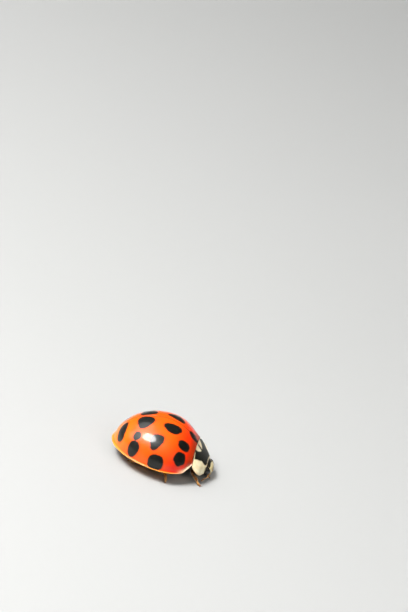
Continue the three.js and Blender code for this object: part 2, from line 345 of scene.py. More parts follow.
def bump(tree, shader, height, depth):
    """Sets a shader's normal from a height, with its depth in millimetres."""
    made = node(tree, "ShaderNodeBump", Height=height, Distance=depth * MM)
    tree.links.new(made.outputs["Normal"], shader.inputs["Normal"])


def dress(tree, shader, colour, pits_per_mm, pit_size, pit_depth):
    """Colours a shader and sinks fine pits into it."""
    tree.links.new(colour, shader.inputs["Base Color"])
    bump(tree, shader, use(tree, "chitin_pits", Per_mm=pits_per_mm, Pit_size=pit_size), pit_depth)


# Each spot's middle as a share of the length and a turn from the seam in degrees, its half-sizes
# along the body and across it, its lean, and the corners that make it more than an oval.
SPOTS = {
    "seam": (0.06, 0, 0.4, 0.35, 0, (2, 0.05, 0)),
    "inner_base": (0.132, 36.8, 0.485, 0.375, 0, (4, 0.03, 45)),
    "shoulder": (0.135, 63.5, 0.455, 0.47, 10, (5, 0.05, 90)),
    "inner_front": (0.32, 17.3, 0.62, 0.46, -12, (3, 0.08, 90)),
    "middle": (0.466, 49.0, 0.42, 0.58, 8, (3, 0.11, 82)),
    "outer_front": (0.409, 80.6, 0.54, 0.53, 0, (4, 0.04, 45)),
    "inner_rear": (0.668, 16.5, 0.56, 0.63, 6, (3, 0.09, 92)),
    "small_rear": (0.71, 48.5, 0.27, 0.33, 0, (3, 0.03, 0)),
    "outer_rear": (0.715, 73.3, 0.42, 0.57, 8, (3, 0.05, 95)),
    "tip": (0.909, 40.5, 0.38, 0.77, -3, (4, 0.04, 45)),
}
# The two wing cases differ a little: these spots sit nearer the seam on the left one.
LEFT_TURNS = {"inner_front": 13.8, "inner_rear": 15.5}
NEAR_SHARE, NEAR_TURN = 0.004, 0.5
OFF_SPOT = -1.0


def spot_reach(points, side):
    """How far inside the nearest spot's edge each point of a dome lies, in mm."""
    reach = np.full(points.shape[:-1], OFF_SPOT)
    for spot, (share, turn, length, width, lean, (corners, corner_size, corner_turn)) in SPOTS.items():
        if side == "left":
            turn = LEFT_TURNS.get(spot, turn)
        patch = case_dome(np.array([share - NEAR_SHARE, share, share + NEAR_SHARE]),
                          np.radians([turn - NEAR_TURN, turn, turn + NEAR_TURN]))
        headward = patch[0, 1] - patch[2, 1]
        headward /= np.linalg.norm(headward)
        rimward = patch[1, 2] - patch[1, 0]
        rimward -= headward * rimward.dot(headward)
        rimward /= np.linalg.norm(rimward)
        a, b = (points - patch[1, 1]) @ headward, (points - patch[1, 1]) @ rimward
        cosine, sine = math.cos(math.radians(lean)), math.sin(math.radians(lean))
        a, b = (a * cosine + b * sine) / length, (b * cosine - a * sine) / width
        edge = 1 + corner_size * np.cos(corners * (np.arctan2(b, a) - math.radians(corner_turn)))
        reach = np.maximum(reach, (edge - np.hypot(a, b)) * min(length, width))
    return reach


# Where each tint starts and where it is full: by share of the length, but side_red by turn from the
# seam, and the columns by rows of points past the foot of the dome. The red tints are painted shade where
# less light falls, the front-edge tint is painted shade, and the shoulder tint is a painted highlight on the
# rim.
TINT = Sizes(front_red=(0.36, 0.03), side_red=(0.7, 1.45), side_red_along=(0.6, 0.3),
             shoulder=(0.16, 0.07), shoulder_front=(0, 0.03), shoulder_columns=(-3, 5),
             rim_columns=(4, 11), front_edge=(0.09, 0.012), seam_mm=(0.055, 0.02))


def wing_case(side, sign):
    """One wing case. Its rows run from the front to the tip, each from the seam over the dome,
    round the bead and back under to the seam."""
    u = (1 - np.cos(np.linspace(0, np.pi, CASE_ROWS))) / 2 * CLOSE_TO_TIP
    outline, normal, fold = case_plan(u)
    floor_z = case_lift(u)[0]
    dome = case_dome(u, DOME_TURNS)
    reach = spot_reach(dome, side)
    dome[..., 2] -= SEAM.drop * np.clip(1 - dome[..., 1] / SEAM.bevel, 0, 1) ** 2
    dome[..., 1] += SEAM.gap / 2

    def at(plan, z):
        return abreast(*plan.T, z)

    bead_middle, bead_z = outline - CASE.bead * normal, floor_z + CASE.bead + CASE.bead_lift
    gutter = at(fold, floor_z + CASE.gutter * CASE.gutter_share)
    lip = at(bead_middle, bead_z + CASE.bead)
    flare = [dome[:, -1] * (1 - t) ** 2 + gutter * 2 * t * (1 - t) + lip * t * t
             for t in np.linspace(0, 1, 10)[1:]]
    round_bead = [at(bead_middle + normal * CASE.bead * math.cos(turn),
                     bead_z + CASE.bead * math.sin(turn)) for turn in np.radians(np.linspace(68, -90, 8))]
    ledge = [at(bead_middle + (fold * (1, HOLLOW) - bead_middle) * t,
                bead_z - CASE.bead + CASE.ledge_tilt * t ** CASE.ledge_power)
             for t in np.linspace(0, 1, 8)[1:]]
    inner = case_dome(u, np.radians(np.linspace(86, 0, 14)))
    inner[..., 1] = inner[..., 1] * HOLLOW + SEAM.gap / 2
    foot_z = floor_z[:, None]
    inner[..., 2] = foot_z + CASE.ledge_tilt + (inner[..., 2] - foot_z - CASE.gutter) * HOLLOW
    rings = np.concatenate([dome, np.stack(flare + round_bead + ledge, 1), inner], 1)
    rings[..., 1] = np.maximum(rings[..., 1], SEAM.gap / 2)

    # The front edge rolls forward and in, to sit behind the neck shield.
    roll = []
    for turn in np.radians(FRONT_ROLL.turns):
        tuck = 1 - FRONT_ROLL.tuck * (1 - math.cos(turn))
        tucked = (rings[0] - FRONT_ROLL.middle) * (1, tuck, tuck) + FRONT_ROLL.middle
        roll.append(tucked + (FRONT_ROLL.depth * math.sin(turn), 0, 0))
    shut_end = rings[-1] * (1, 0, 1) + (-SEAM.past_tip, SEAM.gap / 2, 0)
    rings = np.concatenate([np.stack(roll), rings, shut_end[None]])

    # Painted values: spots, painted shade that turns the front and the low sides red and darkens the front
    # edge, the pale rim with a painted highlight at the shoulder, and the dark seam.
    columns = rings.shape[1]
    inward = np.arange(columns)[None, :] - dome.shape[1]
    u = u[:, None]
    reach = np.concatenate([reach, spot_reach(np.stack(flare, 1), side)], 1)
    reach = np.pad(reach, ((0, 0), (0, columns - reach.shape[1])), constant_values=OFF_SPOT)
    # Painted shade: the wing case turns red toward the front and the low sides, where less light falls.
    side_red = 0.5 * ease(DOME_TURNS, *TINT.side_red)[None, :] * ease(u, *TINT.side_red_along)
    red = np.clip(0.95 * ease(u, *TINT.front_red) + side_red, 0, 1)
    # Painted highlight: near the shoulder the rim whitens as if light glinted on its flat gutter.
    shoulder = ease(u, *TINT.shoulder) * ease(u, *TINT.shoulder_front) * ease(inward, *TINT.shoulder_columns)
    # The front-edge value is a painted shade that darkens the wing case beside the neck shield.
    painted = {"spot_reach": reach, "shade_redness": np.pad(red, ((0, 0), (0, columns - red.shape[1])), "edge"),
               "pale_rim_and_glint": np.maximum(ease(inward, *TINT.rim_columns), shoulder),
               "front_edge": ease(u, *TINT.front_edge) + 0 * inward}
    seam = ease(rings[..., 1], *TINT.seam_mm) * (inward < 0)
    rings[..., 1] *= sign
    piece = loft(f"wing_case_{side}", rings, flip=sign < 0)
    for name, values in painted.items():
        paint(piece, name, np.pad(values, ((len(roll), 1), (0, 0)), "edge"))
    paint(piece, "seam", seam)
    return piece


case_finish, tree, shader = finish("wing_case_chitin", roughness=0.38, coat=0.48, coat_roughness=0.1,
                                   specular=0.3)
x_mm = along(tree, "X")
orange = mix(tree, ramp(tree, x_mm, TAIL_X + 1.6, TAIL_X + 0.1), (0.93, 0.105, 0.001), (0.95, 0.23, 0.003))
# Painted shade: red toward the front and the low sides, where less light falls.
orange_with_shade = mix(tree, read(tree, "shade_redness"), orange, (0.92, 0.02, 0.001))
clouded = mottled(tree, 1.3, orange_with_shade, (0.88, 0.048, 0.001), high=0.18)
# Painted shade: darker along the front edge.
shaded = mix(tree, read(tree, "front_edge", 0.8), clouded, (0.3, 0.03, 0.002))
seamed = mix(tree, read(tree, "seam", 0.75), shaded, (0.22, 0.035, 0.002))
# The pale rim is the margin's own colour. Toward the shoulder it turns near white, a painted highlight.
shoulder_glint_share = ramp(tree, x_mm, FRONT_X - 1.1, FRONT_X - 0.3)
rim_and_glint_colour = mix(tree, shoulder_glint_share, (0.96, 0.43, 0.06), (1.0, 0.78, 0.5))
rimmed = mix(tree, read(tree, "pale_rim_and_glint", 0.8), seamed, rim_and_glint_colour)
edge = ragged(tree, read(tree, "spot_reach"), 4.5, 0.016)
haloed = mix(tree, ramp(tree, edge, -0.14, 0.0, 0.0, 0.5), rimmed, (0.46, 0.05, 0.002))
spot_black = mottled(tree, 3.0, (0.004, 0.004, 0.003), (0.009, 0.01, 0.008))
coloured = mix(tree, ramp(tree, edge, -0.03, 0.03), haloed, spot_black)
dress(tree, shader, coloured, pits_per_mm=15.0, pit_size=0.42, pit_depth=0.004)
polish = use(tree, "soft_mottle", Per_mm=4.0, Low=0.33, High=0.42)
rim_polish = ramp(tree, read(tree, "pale_rim_and_glint"), 0.0, 1.0, 1.0, 0.55)
tree.links.new(maths(tree, "MULTIPLY", polish, rim_polish), shader.inputs["Roughness"])
for side, sign in SIDES.items():
    fit(wing_case(side, sign), case_finish, f"elytron_{side}")

# ----- Scutellum -----
# The small black triangle between the bases of the wing cases, a plate of the middle thorax
# that locks the seam's front end. It stands a hair above the wing cases.
SCUTELLUM = Sizes(front_x=-0.03, length=0.46, half=0.27, taper=1.15, tip_half=0.012, proud=0.012,
                  deep=0.12, round_over=0.12, edge_drop=0.02, sides=13, steps=15)

crest = case_dome(np.linspace(0, 0.15, 40), np.array([0.0]))[:, 0]
v = np.linspace(-1, 1, SCUTELLUM.sides)
rows = []
for share in np.linspace(0, 1, SCUTELLUM.steps):
    x = SCUTELLUM.front_x - share * SCUTELLUM.length
    half = SCUTELLUM.half * (1 - share) ** SCUTELLUM.taper + SCUTELLUM.tip_half
    crown_z = np.interp(-x, -crest[:, 0], crest[:, 2])
    top = crown_z + SCUTELLUM.proud - SCUTELLUM.round_over * (v * half) ** 2 - SCUTELLUM.edge_drop * v ** 4
    bottom = [(x, half, crown_z - SCUTELLUM.deep), (x, -half, crown_z - SCUTELLUM.deep)]
    rows.append([*zip(v * 0 + x, v * half, top), *bottom])
black_finish, tree, shader = finish("black_chitin", roughness=0.38, coat=0.25, coat_roughness=0.2,
                                    specular=0.3)
dress(tree, shader, mottled(tree, 5.0, (0.008, 0.007, 0.006), (0.022, 0.017, 0.012)), 16.0, 0.35, 0.008)
fit(loft("scutellum_plate", rows), black_finish, "scutellum")

# ----- Neck shield (pronotum) -----
# One saddle-shaped plate over the fore-body, its edge turned out in a thin bead. Cream-white
# and glossy, with a black M whose legs run back to the wing cases.
SHIELD = Sizes(rear=(-0.04, 2.04), bend=(0.4, 1.6), front=(0.94, 1.09), rear_half=1.83, half=1.88,
               widest_at=0.34, front_half=1.22, rear_edge_z=1.22, edge_z=0.68, edge_low_at=0.92,
               lip=0.05, lip_thick=0.01, sweep=0.12, corner_back=0.15, crown_power=0.8, thick=0.1,
               flare=0.03, rows=44, columns=121)
# The M's outer and inner edges: a share of the way from rear to front, and degrees off the middle.
M_OUTER = ((0, 59), (0.12, 53), (0.3, 45), (0.62, 33), (0.8, 37), (0.87, 40), (1, 36))
M_INNER = ((0, 26), (0.2, 21), (0.35, 14), (0.47, 0))
M_STREAK, M_STREAK_FROM, M_FRONT, M_REAR = 3.2, 0.1, 0.965, 0.06
MM_PER_DEGREE, SHIELD_LENGTH = 0.028, 1.25
OFF_M = -1.0


def shield_points(share, turn, inset=0.0):
    """Points of the neck shield at each share from rear to front and each turn from the crest."""
    s = share[:, None]
    bezier = ((1 - s) ** 2, 2 * s * (1 - s), s ** 2)
    crest = sum(b * point for b, point in zip(bezier, np.array((SHIELD.rear, SHIELD.bend, SHIELD.front))))
    crest_x, crest_z = crest[:, :1], crest[:, 1:]
    widening = np.sin(np.clip(s / SHIELD.widest_at, 0, 1) * np.pi / 2)
    past = np.clip((s - SHIELD.widest_at) / (1 - SHIELD.widest_at), 0, 1) ** 2
    wide = SHIELD.rear_half + (SHIELD.half - SHIELD.rear_half) * widening
    half = wide + (SHIELD.front_half - SHIELD.half) * past - inset
    fall = np.sin(np.clip(s / SHIELD.edge_low_at, 0, 1) * np.pi / 2)
    edge_z = SHIELD.rear_edge_z + (SHIELD.edge_z - SHIELD.rear_edge_z) * fall - SHIELD.lip + SHIELD.lip_thick
    sine, cosine = np.sin(turn)[None, :], np.abs(np.cos(turn))[None, :]
    flare = SHIELD.flare * ease(np.abs(sine), 0.985, 1.0) if inset == 0 else 0
    cut_back = SHIELD.corner_back * ease(s, 0.5, 1.0) * ease(np.abs(sine), 0.45, 1.0)
    z = edge_z + (crest_z - inset - edge_z) * cosine ** SHIELD.crown_power
    return abreast(crest_x + SHIELD.sweep * sine ** 2 - cut_back, (half + flare) * sine, z)


def rolled(ring, tuck_y, tuck_z, ahead, fall_back):
    """Two rows that roll an end of the shield in and round."""
    return np.stack([ring * (1, 1 - tuck_y * k, 1 - tuck_z * k) + (ahead * k - fall_back * k * k, 0, 0)
                     for k in (0.5, 1.0)])


share = np.linspace(0, 1, SHIELD.rows)
turns = np.radians(np.sin(np.linspace(-np.pi / 2, np.pi / 2, SHIELD.columns)) * 90)
plate = np.concatenate([shield_points(share, turns), shield_points(share, turns[::-4], SHIELD.thick)], 1)
rear_roll = rolled(plate[0], 0.04, 0.03, -0.012, -0.012)[::-1]
front_roll = rolled(plate[-1], 0.03, 0.04, 0.03, 0.02)
shield = loft("neck_shield", np.concatenate([rear_roll, plate, front_roll]), flip=True)

degrees = np.abs(np.degrees(turns))[None, :]
s = share[:, None]
outside = (np.interp(s, *zip(*M_OUTER)) - degrees) * MM_PER_DEGREE
inner_edge = np.where(s < M_INNER[-1][0], np.interp(s, *zip(*M_INNER)), -30)
streak = np.minimum((M_STREAK - degrees) * MM_PER_DEGREE, (s - M_STREAK_FROM) * SHIELD_LENGTH)
inside = np.maximum((degrees - inner_edge) * MM_PER_DEGREE, streak)
ends = np.minimum(M_FRONT - s, s - M_REAR * ease(degrees, 30, 40)) * SHIELD_LENGTH
m_reach = np.minimum(np.minimum(outside, inside), ends)
edge = np.maximum(ease(degrees, 84, 90), ease(s, 0.06, 0.0))
underside = plate.shape[1] - len(turns)
m_reach = np.pad(np.pad(m_reach, ((2, 2), (0, 0)), "edge"), ((0, 0), (0, underside)), constant_values=OFF_M)
edge = np.pad(edge, ((2, 2), (0, underside)))
edge[:2], edge[-2:] = 1, 0.5
paint(shield, "m_reach", m_reach)
paint(shield, "edge", edge)

shield_finish, tree, shader = finish("neck_shield_chitin", roughness=0.34, coat=0.25,
                                     coat_roughness=0.14, specular=0.3)
m_edge = ragged(tree, read(tree, "m_reach"), 5.0, 0.02)
cream = mottled(tree, 3.2, (0.95, 0.87, 0.6), (0.87, 0.7, 0.39), high=0.8)
edged = mix(tree, read(tree, "edge", 0.8), cream, (0.74, 0.52, 0.26))
browned = mix(tree, ramp(tree, m_edge, -0.14, 0.0, 0.0, 0.5), edged, (0.3, 0.16, 0.06))
black = mottled(tree, 4.0, (0.004, 0.004, 0.003), (0.011, 0.012, 0.008))
m_mask = ramp(tree, m_edge, -0.025, 0.03)
tree.links.new(ramp(tree, m_mask, 0.0, 1.0, 0.35, 0.16), shader.inputs["Coat Weight"])
dress(tree, shader, mix(tree, m_mask, browned, black), 22.0, 0.36, 0.003)
fit(shield, shield_finish, "pronotum")

# ----- Head -----
# A short broad capsule of chitin, sunk under the neck shield up to its eyes and bent down. The
# crown is black, and the face is cream-yellow, narrowing over the clypeus to the mouth.

# Rings down the face: each one's middle x and z, its half-width and its half-depth.
HEAD_RINGS = ((0.7, 0.91, 0.4, 0.12), (0.79, 0.86, 0.57, 0.23), (0.89, 0.76, 0.67, 0.31),
              (0.97, 0.65, 0.7, 0.35), (1.04, 0.54, 0.67, 0.37), (1.09, 0.43, 0.57, 0.32),
              (1.13, 0.34, 0.47, 0.26), (1.155, 0.26, 0.4, 0.21), (1.165, 0.19, 0.32, 0.15))
HEAD_SIDES, HEAD_STEPS, BOXINESS = 72, 60, 2.35


def smooth_path(points, count):
    """Points at even steps along a smooth curve through the given ones, of any dimension."""
    points = np.asarray(points, float)
    padded = np.concatenate([2 * points[:1] - points[1:2], points, 2 * points[-1:] - points[-2:-1]])
    t = np.linspace(0, len(points) - 1, count)
    i = np.minimum(t.astype(int), len(points) - 2)
    f = (t - i)[:, None]
    a, b, c, d = padded[i], padded[i + 1], padded[i + 2], padded[i + 3]
    bends = (2 * a - 5 * b + 4 * c - d) * f ** 2 + (3 * b - a - 3 * c + d) * f ** 3
    return 0.5 * (2 * b + (c - a) * f + bends)


def hump(away, width):
    """1 on a line, fading to nothing about two widths away on both sides."""
    return np.exp(-(away / width) ** 2)


path = smooth_path(HEAD_RINGS, HEAD_STEPS)
run = np.gradient(path[:, :2], axis=0)
run /= np.linalg.norm(run, axis=1, keepdims=True)
middle_x, middle_z, half, depth = path.T[:, :, None]
around = np.linspace(0, 2 * np.pi, HEAD_SIDES, endpoint=False)[None, :]
wide = np.sign(np.sin(around)) * np.abs(np.sin(around)) ** (2 / BOXINESS)
deep = np.sign(np.cos(around)) * np.abs(np.cos(around)) ** (2 / BOXINESS)
down = np.linspace(0, 1, HEAD_STEPS)[:, None]
in_front = np.clip(np.cos(around), 0, 1)
clypeus_groove = 0.02 * hump(down - 0.7 - 0.06 * wide ** 2, 0.018) * in_front
brow_dent = 0.03 * hump(down - 0.45, 0.16) * hump(wide, 0.25) * in_front
reach = depth * deep - clypeus_groove - brow_dent
head_rings = abreast(middle_x - run[:, 1:] * reach, half * wide, middle_z + run[:, :1] * reach)
head = loft("head_capsule", head_rings, flip=True)
paint(head, "down_face", down + 0 * wide)
paint(head, "from_middle", np.abs(half * wide))
head_finish, tree, shader = finish("head_chitin", roughness=0.36, coat=0.35, coat_roughness=0.18)
face_top = maths(tree, "ADD", read(tree, "from_middle", 0.14), 0.27)
below_top = maths(tree, "SUBTRACT", read(tree, "down_face"), face_top)
pale_share = ramp(tree, ragged(tree, below_top, 4.0, 0.02), -0.02, 0.03)
cream = mottled(tree, 5.0, (0.88, 0.8, 0.46), (0.74, 0.6, 0.28))
amber = mix(tree, ramp(tree, read(tree, "down_face"), 0.72, 0.95), cream, (0.42, 0.22, 0.07))
dress(tree, shader, mix(tree, pale_share, (0.01, 0.009, 0.007), amber), 26.0, 0.36, 0.0035)
fit(head, head_finish, "head")

# ----- Eyes -----
# Two bulging compound eyes of several hundred facets, black and glossy, set in the sides of the
# head, each notched in front by a tongue of the face.
EYE = Sizes(at=(1.05, 0.68, 0.59), radii=(0.25, 0.19, 0.26), rows=44, columns=64, notch=0.22,
            notch_at=(0.86, -0.42), notch_size=(0.22, 0.2))
FACET, FACET_DEPTH = 0.028, 0.004
eye_finish, tree, shader = finish("eye_facets", roughness=0.25, coat=0.7, coat_roughness=0.1)
shade = mottled(tree, 6.0, (0.004, 0.004, 0.004), (0.018, 0.015, 0.012))
tree.links.new(shade, shader.inputs["Base Color"])
# Facets: three waves at 60 degrees to each other make a honeycomb of small domes.
round_eye = maths(tree, "SUBTRACT", along(tree, "X"), off_middle(tree))
on_eye = node(tree, "ShaderNodeCombineXYZ", X=round_eye, Z=along(tree, "Z")).outputs["Vector"]
domes = 0.0
for turn in np.radians((0, 60, 120)):
    way = (math.cos(turn) * 2 * math.pi / FACET, 0, math.sin(turn) * 2 * math.pi / FACET)
    wave = node(tree, "ShaderNodeVectorMath", {"operation": "DOT_PRODUCT"}, n0=on_eye, n1=way)
    domes = maths(tree, "ADD", maths(tree, "COSINE", wave.outputs["Value"]), domes)
bump(tree, shader, domes, FACET_DEPTH / 4)
latitude = np.linspace(0, np.pi, EYE.rows)[1:-1, None]
longitude = np.linspace(0, 2 * np.pi, EYE.columns, endpoint=False)[None, :]
ball = abreast(np.sin(latitude) * np.cos(longitude), np.sin(latitude) * np.sin(longitude), np.cos(latitude))
notch = EYE.notch * math.prod(hump(ball[..., axis] - at, size) for axis, at, size in
                              zip((0, 2), EYE.notch_at, EYE.notch_size))
eye_rings = ball * (1 - notch)[..., None] * EYE.radii + EYE.at
for side, sign in SIDES.items():
    eye = loft(f"compound_eye_{side}", eye_rings * (1, sign, 1), flip=sign > 0)
    fit(eye, eye_finish, f"eye_{side}")

# ----- Fore-body -----
# The underside of the first part of the thorax, one shell with the neck shield above it: pale
# turned-under sides, a black middle and a keeled tongue between the front legs.
FORE = Sizes(middle_z=0.5, throat_rise=0.1, keel=0.045, keel_half=0.13, socket=((0.2, 0.42), 0.3, 0.09),
             inset=0.05, above_edge=0.012, power=2.1, roof=0.12, under_crest=0.1)


def shell_below(edges, middle_z, power, roof_z, relief, columns=97, roof_columns=9):
    """Rings of a body seen from below: edge points (x, y, z) of the left side, the height of the
    middle and of the hidden roof at each; relief(x, y) presses the surface up."""
    x, half, side_z = (edges[:, axis, None] for axis in range(3))
    v = np.sin(np.linspace(-np.pi / 2, np.pi / 2, columns))[None, :]
    middle_z = middle_z[:, None]
    z = middle_z + (side_z - middle_z) * np.abs(v) ** power
    below = abreast(x, half * v, z + relief(x, half * v))
    back_across = np.linspace(0.96, -0.96, roof_columns)[None, :]
    roof = abreast(x, half * back_across, roof_z[:, None])
    return np.concatenate([below, roof], 1)


def hollow(x, y, middle, size, depth):
    """A smooth round hollow on both sides of the body."""
    away = np.hypot(x - middle[0], np.abs(y) - middle[1])
    return depth * (1 - ease(away, size * 0.45, size))


def fore_relief(x, y):
    """The tongue with its two ridges, the seam with the turned-under side and the leg's socket."""
    tongue = 1 - ease(np.abs(y), FORE.keel_half * 0.8, FORE.keel_half * 1.3)
    ridges = 0.018 * hump(np.abs(y) - FORE.keel_half * 0.75, 0.022)
    side_seam = 0.02 * hump(np.abs(y) - 0.95 - 0.25 * x, 0.02)
    return hollow(x, y, *FORE.socket) * (1 - tongue) - FORE.keel * tongue - ridges + side_seam


share = np.linspace(0.02, 0.985, 46)
edges = shield_points(share, np.radians([90.0]), inset=FORE.inset)[:, 0] + (0, 0, FORE.above_edge)
middle_z = FORE.middle_z + FORE.throat_rise * ease(share, 0.75, 1.0)
crest_z = shield_points(share, np.radians([0.0]), inset=2 * SHIELD.thick)[:, 0, 2]
roof_z = np.minimum(crest_z - FORE.under_crest, edges[:, 2] + FORE.roof)
fore_body = loft("fore_body", shell_below(edges, middle_z, FORE.power, roof_z, fore_relief))
CHITIN_BELOW = dict(roughness=0.42, coat=0.2, coat_roughness=0.22, specular=0.4)
fore_finish, tree, shader = finish("fore_body_chitin", **CHITIN_BELOW)
side_share = ramp(tree, ragged(tree, off_middle(tree), 6.0, 0.08), 0.92, 1.12)
black = mottled(tree, 4.0, (0.01, 0.008, 0.006), (0.035, 0.022, 0.012))
cream = mottled(tree, 5.0, (0.74, 0.58, 0.32), (0.58, 0.38, 0.16))
dress(tree, shader, mix(tree, side_share, black, cream), 14.0, 0.36, 0.008)
fit(fore_body, fore_finish, "prothorax_underside")

# ----- Breast -----
# The underside of the middle and hind thorax, broad black plates with a fine line down the
# middle, hollows for the legs and, on each side, one cream-white plate under the shoulder.
BREAST = Sizes(front_x=0.16, rear_x=-2.24, middle_z=0.54, rear_z=0.6, neck_half=1.05, neck_rise=0.04,
               highest_edge=1.02, plate_at=(-0.52, 1.72), plate_size=(0.3, 0.34),
               hollows=(((-0.82, 0.62), 0.36, 0.07), ((-2.1, 0.62), 0.4, 0.05), ((-1.5, 1.42), 0.36, 0.05)))
# What breast and belly share: their share of the case's half-width and how full they are.
BELOW = Sizes(reach=0.8, power=2.5, above_ledge=0.015, roof=0.3)


def rim_edge(x):
    """The body's left edge just above the wing case's inner ledge, at each x: (x, y, z)."""
    fold = case_plan(np.linspace(0, 1, 400) * CLOSE_TO_TIP)[2]
    half = np.interp(-x, -fold[:, 0], fold[:, 1]) * BELOW.reach
    rim_z = case_lift(np.clip(-x / CASE.length, 0.0, 0.97))[0]
    return abreast(x, half, rim_z + CASE.ledge_tilt + BELOW.above_ledge)


def breast_relief(x, y):
    """Hollows for the legs, the lines between the plates and the bulge between the middle legs."""
    side = np.abs(y)
    middle_line = 0.03 * hump(y, 0.018) * ease(-x, 1.05, 1.2)
    cross_line = 0.03 * hump(x + 0.98 - 0.12 * np.cos(y * 2.2), 0.022) * ease(side, 0.35, 0.5)
    side_line = 0.026 * hump(side - 1.62 - 0.16 * (x + 1.0), 0.02) * ease(-x, 0.25, 0.4)
    bulge = 0.05 * hump(y, 0.5) * hump(x + 1.55, 0.4)
    deep = sum(hollow(x, y, *place_size_depth) for place_size_depth in BREAST.hollows)
    return deep + middle_line + cross_line + side_line - bulge


x = np.linspace(BREAST.front_x, BREAST.rear_x, 110)
edges = rim_edge(x)
neck = ease(x, -0.32, BREAST.front_x)
edges[:, 1] = edges[:, 1] * (1 - neck) + BREAST.neck_half * neck
edges[:, 2] = np.minimum(edges[:, 2], BREAST.highest_edge)
rearward = (BREAST.rear_z - BREAST.middle_z) * ease(-x, 1.6, 2.2)
middle_z = BREAST.middle_z + rearward + BREAST.neck_rise * neck
breast_rings = shell_below(edges, middle_z, BELOW.power, edges[:, 2] + BELOW.roof, breast_relief)
breast_finish, tree, shader = finish("breast_chitin", **CHITIN_BELOW)
plate_x = maths(tree, "SUBTRACT", along(tree, "X"), BREAST.plate_at[0] + FRONT_X)
plate_y = maths(tree, "SUBTRACT", off_middle(tree), BREAST.plate_at[1])
squares = [maths(tree, "POWER", maths(tree, "DIVIDE", away, size), 2.0)
           for away, size in zip((plate_x, plate_y), BREAST.plate_size)]
from_plate = maths(tree, "POWER", maths(tree, "ADD", *squares), 0.5)
black = mottled(tree, 3.5, (0.01, 0.008, 0.006), (0.045, 0.026, 0.014))
plated = mix(tree, ramp(tree, from_plate, 0.92, 1.06), (0.72, 0.6, 0.38), black)
dress(tree, shader, plated, 10.0, 0.36, 0.012)
fit(loft("breast", breast_rings, flip=True), breast_finish, "thorax_underside")

# ----- Belly -----
# The hind body's underside, six overlapping plates that fit inside the wing cases' ledge,
# orange-brown at the sides and nearly black in the middle, with a curved line behind each leg.
BELLY = Sizes(ends=(-2.12, -2.86, -3.44, -4.0, -4.5, -4.93, -5.4), under_breast=-2.0, past_tip=-5.6,
              step=0.07, lap_power=1.5, bow=0.13, bow_half=2.3, base=0.03, middle_z=0.62, tip_z=0.86,
              tip_from=4.2, tip_flat=0.24)


def belly_relief(x, y):
    """Each plate laps over the next, with a breathing hole at its side and a line behind the leg."""
    side = np.abs(y)
    straight = x - BELLY.bow * (side / BELLY.bow_half) ** 2
    starts = np.array((BELLY.under_breast,) + BELLY.ends[1:-1])
    ends = np.array(BELLY.ends[1:-1] + (BELLY.past_tip,))
    plate = np.clip(np.searchsorted(-starts, -straight) - 1, 0, len(ends) - 1)
    share = np.clip((starts[plate] - straight) / (starts[plate] - ends[plate]), 0, 1)
    spiracle = 0.02 * hump(side - 1.75 - 0.22 * (x + 3), 0.035) * hump(share - 0.45, 0.09)
    leg_line = 0.016 * hump(np.hypot((x + 2.12) / 0.52, (side - 0.95) / 0.62) - 1, 0.045)
    return BELLY.base - BELLY.step * share ** BELLY.lap_power + spiracle - leg_line


stops = [np.linspace(start, end, 30)[1:] for start, end in zip(BELLY.ends, BELLY.ends[1:])]
x = np.concatenate([BELLY.ends[:1], *stops])
edges = rim_edge(x)
tipward = ease(-x, BELLY.tip_from, -BELLY.ends[-1])
middle_z = BELLY.middle_z + (BELLY.tip_z - BELLY.middle_z) * tipward
roof_z = edges[:, 2] + BELOW.roof - BELLY.tip_flat * tipward
belly_rings = shell_below(edges, middle_z, BELOW.power, roof_z, belly_relief)
belly_finish, tree, shader = finish("belly_chitin", roughness=0.45, coat=0.2, coat_roughness=0.25,
                                    specular=0.4)
side_share = ramp(tree, ragged(tree, off_middle(tree), 2.5, 0.25), 0.75, 1.55)
dark = mottled(tree, 4.0, (0.018, 0.01, 0.006), (0.07, 0.03, 0.012))
tawny = mottled(tree, 3.0, (0.5, 0.17, 0.03), (0.62, 0.26, 0.06))
dress(tree, shader, mix(tree, side_share, dark, tawny), 13.0, 0.34, 0.01)
fit(loft("belly_plates", belly_rings, flip=True), belly_finish, "abdomen")

# ----- Mouthparts -----
# An upper lip hinged to the face over two short curved jaws with dark tips, and a lower lip
# behind them. Amber chitin, held close under the head.
LIP = Sizes(x=1.285, top_z=0.23, half=0.3, drop=0.15, thick=0.05, narrowing=0.25, notch=0.18,
            forward=0.03, bow=0.13, sides=25, rows=12)
JAW_PATH = ((1.14, 0.24, 0.22), (1.2, 0.25, 0.13), (1.235, 0.16, 0.075), (1.235, 0.05, 0.05))
JAW_WIDE, JAW_DEEP = np.array((0.09, 0.075, 0.05, 0.012)), 0.8
CHIN_PATH = ((1.02, 0.0, 0.24), (1.12, 0.0, 0.16), (1.2, 0.0, 0.11))
CHIN_WIDE, CHIN_DEEP = np.array((0.16, 0.17, 0.11)), 0.5
LIP_PALP_PATH = ((1.2, 0.1, 0.11), (1.25, 0.14, 0.085), (1.3, 0.15, 0.07))
LIP_PALP_WIDE, LIP_PALP_DEEP = (0.028, 0.03, 0.02), 0.026


def unit(vectors):
    """Vectors of length one."""
    return vectors / np.maximum(np.linalg.norm(vectors, axis=-1, keepdims=True), 1e-9)


